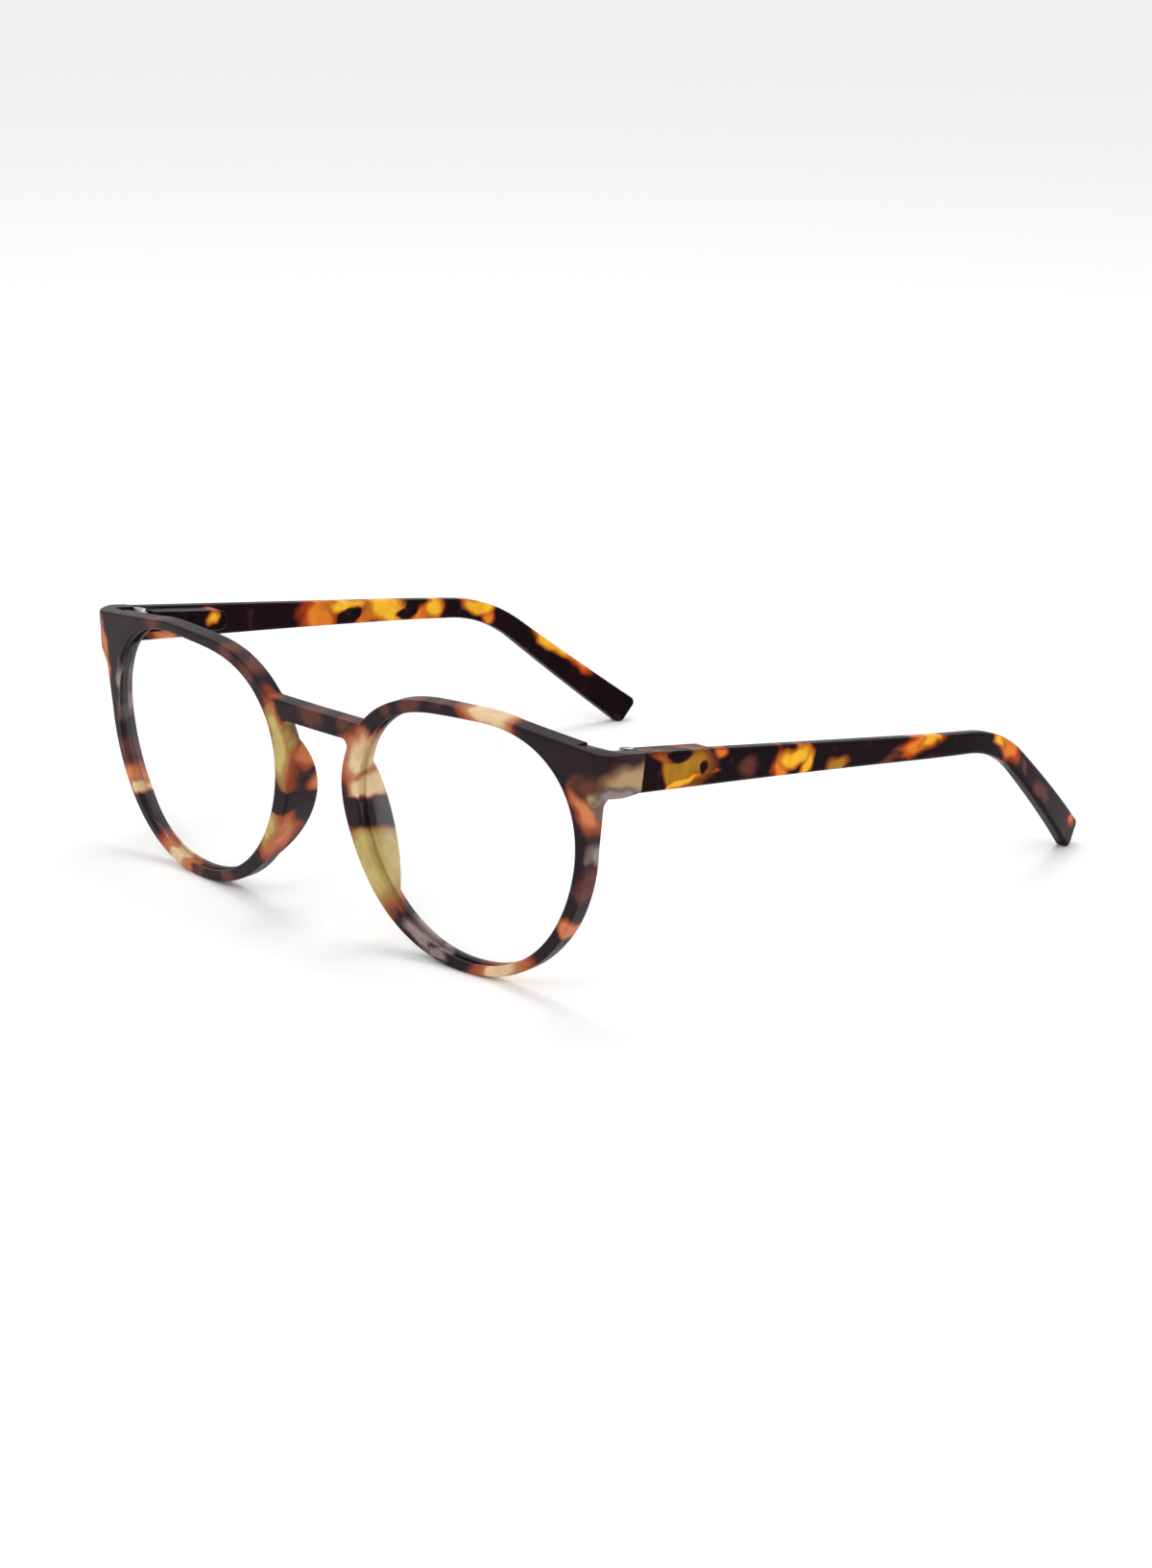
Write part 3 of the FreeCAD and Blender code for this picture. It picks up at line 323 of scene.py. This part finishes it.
def tortoiseshell(name, base, patches, dark_patches, roughness, mirror):
    """Mottled plastic: patches of each shade over the dark base, with burnt fringes."""
    nodes = Nodes(name)
    place, wavy = wavy_place(nodes)
    covered = strongest(nodes, [patch_field(nodes, wavy, *dark) for dark in dark_patches])
    colour = dark_ground(nodes, place, wavy, base)
    for shade in PAINT_ORDER:
        field = strongest(nodes, [patch_field(nodes, wavy, *patch[1:])
                                  for patch in patches if patch[0] == shade])
        if field is None:
            continue
        fringe, body, core = (linear(code) for code in SHADES[shade])
        if covered:
            field = nodes.math("SUBTRACT", field, nodes.math("MULTIPLY", covered, DARK_BITE))
        paint = nodes.ramp(field, [(0.08, fringe), (0.34, body), (0.62, core)])
        amount = nodes.ramp(field, [(0.0, (0, 0, 0, 1)), (0.46, (1, 1, 1, 1))])
        colour = nodes.blend(amount, colour, paint)

    shader = nodes.surface(Roughness=roughness, IOR=1.49, Specular_IOR_Level=mirror)
    nodes.link(mottled(nodes, wavy, colour), shader.inputs["Base Color"])
    satin(nodes, place, shader, roughness)
    return nodes.material


def satin(nodes, place, shader, roughness):
    """Faint smudges in the roughness and a fine grain in the surface."""
    smudge = nodes.noise(place, SMUDGE_SCALE, 3.0)
    rough = nodes.add("MapRange")
    rough.inputs["To Min"].default_value = roughness - 0.05
    rough.inputs["To Max"].default_value = roughness + 0.07
    nodes.link(smudge.outputs["Fac"], rough.inputs["Value"])
    nodes.link(rough.outputs["Result"], shader.inputs["Roughness"])
    grain = nodes.noise(place, 2600.0, 2.0)
    nodes.relief(grain.outputs["Fac"], 0.12, 0.00005, shader)


def mottled(nodes, place, colour):
    """The colour, cloudier in places, so that no patch is flat."""
    cloud = nodes.noise(place, 330.0, 3.0, 0.6)
    shade = nodes.ramp(cloud.outputs["Fac"], [(0.30, (0.80, 0.77, 0.75, 1.0)), (0.66, (1.0, 1.0, 1.0, 1.0))])
    mix = nodes.add("Mix", data_type="RGBA", blend_type="MULTIPLY")
    mix.inputs["Factor"].default_value = 1.0
    nodes.link(colour, mix.inputs["A"])
    nodes.link(shade, mix.inputs["B"])
    return mix.outputs["Result"]


def front_patches():
    """Patches and dark bands of the front."""
    patches = []
    for side, marks in ((1, NEAR_RIM), (-1, FAR_RIM)):
        for angle, length, shade, extra in marks:
            patches.append((shade, *rim_place(side, angle, length, **extra)))
    for side, x, y, z, reach, shade in ENDPIECES:
        patches.append((shade, Vector((side * x, y, z)), reach, (0.0, 0.0, 0.0)))
    for x, z, reach, shade in BRIDGE:
        patches.append((shade, Vector((x, FRONT_Y - 2.0, z)), (reach, 8.0, reach), (0.0, 0.0, 0.0)))
    dark = [rim_place(side, angle, length) for side, angle, length in RIM_DARK]
    return patches, dark


def temple_patches(side, marks, dark_marks):
    """Patches and dark bands of one temple."""
    patches = []
    for along, below, length, height, shade, lean in marks:
        patches.append((shade, *temple_place(side, along, below, length, height, lean)))
    dark = [temple_place(side, *mark) for mark in dark_marks]
    return patches, dark


# ---------------------------------------------------------------- other materials
def metal(name, code, roughness, brushed_along):
    """Turned or drawn metal with fine lines along one direction."""
    nodes = Nodes(name)
    place = nodes.add("TexCoord").outputs["Object"]
    mapping = nodes.add("Mapping")
    mapping.inputs["Scale"].default_value = brushed_along
    nodes.link(place, mapping.inputs["Vector"])
    lines = nodes.noise(mapping.outputs["Vector"], 1.0, 3.0)
    colour = linear(code)
    worn = tuple(c * 0.72 for c in colour[:3]) + (1.0,)
    shader = nodes.surface(Metallic=1.0, Roughness=roughness)
    tint = nodes.ramp(lines.outputs["Fac"], [(0.3, worn), (0.6, colour)])
    nodes.link(tint, shader.inputs["Base Color"])
    nodes.relief(lines.outputs["Fac"], 0.2, 0.00002, shader)
    return nodes.material


def clear_lens():
    """Thin clear demo lens: almost nothing but a faint cool reflection."""
    nodes = Nodes("clear_lens")
    shader = nodes.surface(Base_Color=(0.93, 0.96, 1.0, 1.0), Roughness=0.02, IOR=1.49,
                           Transmission_Weight=1.0, Alpha=0.05)
    place = nodes.add("TexCoord").outputs["Object"]
    ripple = nodes.noise(place, 90.0, 1.0)
    nodes.relief(ripple.outputs["Fac"], 0.02, 0.0001, shader)
    return nodes.material


def wear(node, material):
    """Gives a CAD node its material."""
    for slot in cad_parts[node].material_slots:
        slot.material = material


def dress():
    wear("front", tortoiseshell("front_tortoiseshell", FRONT_BASE, *front_patches(), *FRONT_GLOSS))
    for side, name, marks, dark in ((1, "left", NEAR_TEMPLE, NEAR_TEMPLE_DARK),
                                    (-1, "right", FAR_TEMPLE, FAR_TEMPLE_DARK)):
        patches, dark_patches = temple_patches(side, marks, dark)
        wear(name + "_temple", tortoiseshell(name + "_temple_tortoiseshell", TEMPLE_BASE,
                                             patches, dark_patches, *TEMPLE_GLOSS))
    lens = clear_lens()
    nickel = metal("nickel_silver", "#c9c5bd", 0.30, (400, 4000, 400))
    screw = metal("screw_steel", "#d6d4cf", 0.22, (3000, 3000, 300))
    bronze = metal("bronze_washer", "#c69a52", 0.35, (2500, 2500, 200))
    box = metal("box_steel", "#9a9894", 0.38, (300, 3000, 300))
    wire = metal("spring_wire", "#a9a9ab", 0.28, (2500, 400, 2500))
    for side in ("left_", "right_"):
        wear(side + "lens", lens)
        wear(side + "hinge_leaf", nickel)
        wear(side + "hinge_screw", screw)
        wear(side + "hinge_washers", bronze)
        wear(side + "spring_slider", nickel)
        wear(side + "slider_nut", nickel)
        wear(side + "stop_bush", nickel)
        wear(side + "spring_box", box)
        wear(side + "hinge_spring", wire)


# ---------------------------------------------------------------- springs
def springs():
    """Each coil spring as a piece of its own, carried by its temple in place of the CAD spring."""
    for side, name in ((1, "left_"), (-1, "right_")):
        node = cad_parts[name + "hinge_spring"]
        coil = bpy.data.objects.new(name + "coil", node.data.copy())
        bpy.context.collection.objects.link(coil)
        coil.matrix_world = node.matrix_world
        coil.data.materials.clear()
        coil.data.materials.append(node.material_slots[0].material)
        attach(coil, name + "temple")
        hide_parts(name + "hinge_spring")
        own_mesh(coil)


# ---------------------------------------------------------------- studio
def floor():
    bpy.ops.mesh.primitive_plane_add(size=60.0, location=(0.0, 0.0, 0.0))
    plane = bpy.context.object
    plane.name = "floor"
    nodes = Nodes("pale_floor")
    nodes.surface(Base_Color=(0.93, 0.93, 0.93, 1.0), Roughness=0.9)
    plane.data.materials.append(nodes.material)


def soft_light(name, place, size, power):
    """A square area light that looks at the middle of the frame."""
    data = bpy.data.lights.new(name, "AREA")
    data.size = size
    data.energy = power
    light = bpy.data.objects.new(name, data)
    bpy.context.collection.objects.link(light)
    light.location = place
    aim = Vector((0.0, 0.0, 0.02)) - Vector(place)
    light.rotation_euler = aim.to_track_quat("-Z", "Y").to_euler()


def studio():
    world = bpy.data.worlds.new("studio")
    bpy.context.scene.world = world
    world.use_nodes = True
    sky = world.node_tree.nodes["Background"]
    sky.inputs["Color"].default_value = (1.0, 1.0, 1.0, 1.0)
    sky.inputs["Strength"].default_value = 0.92
    soft_light("key", (0.30, -0.70, 0.75), 0.35, 1.3)
    soft_light("top", (-0.20, 0.25, 0.95), 0.40, 2.2)
    soft_light("side", (0.85, 0.25, 0.35), 0.30, 0.8)
    bpy.context.scene.view_settings.view_transform = "Standard"


def camera():
    data = bpy.data.cameras.new("camera")
    data.sensor_width = 36.0
    data.lens = CAMERA_LENS
    data.clip_start = 0.01
    eye = bpy.data.objects.new("camera", data)
    bpy.context.collection.objects.link(eye)
    back = -CAMERA_FORWARD.normalized()
    right = CAMERA_UP.cross(back).normalized()
    up = back.cross(right)
    turn = Matrix((right, up, back)).transposed().to_4x4()
    eye.matrix_world = Matrix.Translation(CAMERA_AT) @ turn
    bpy.context.scene.camera = eye


camera()
floor()
studio()
dress()
springs()
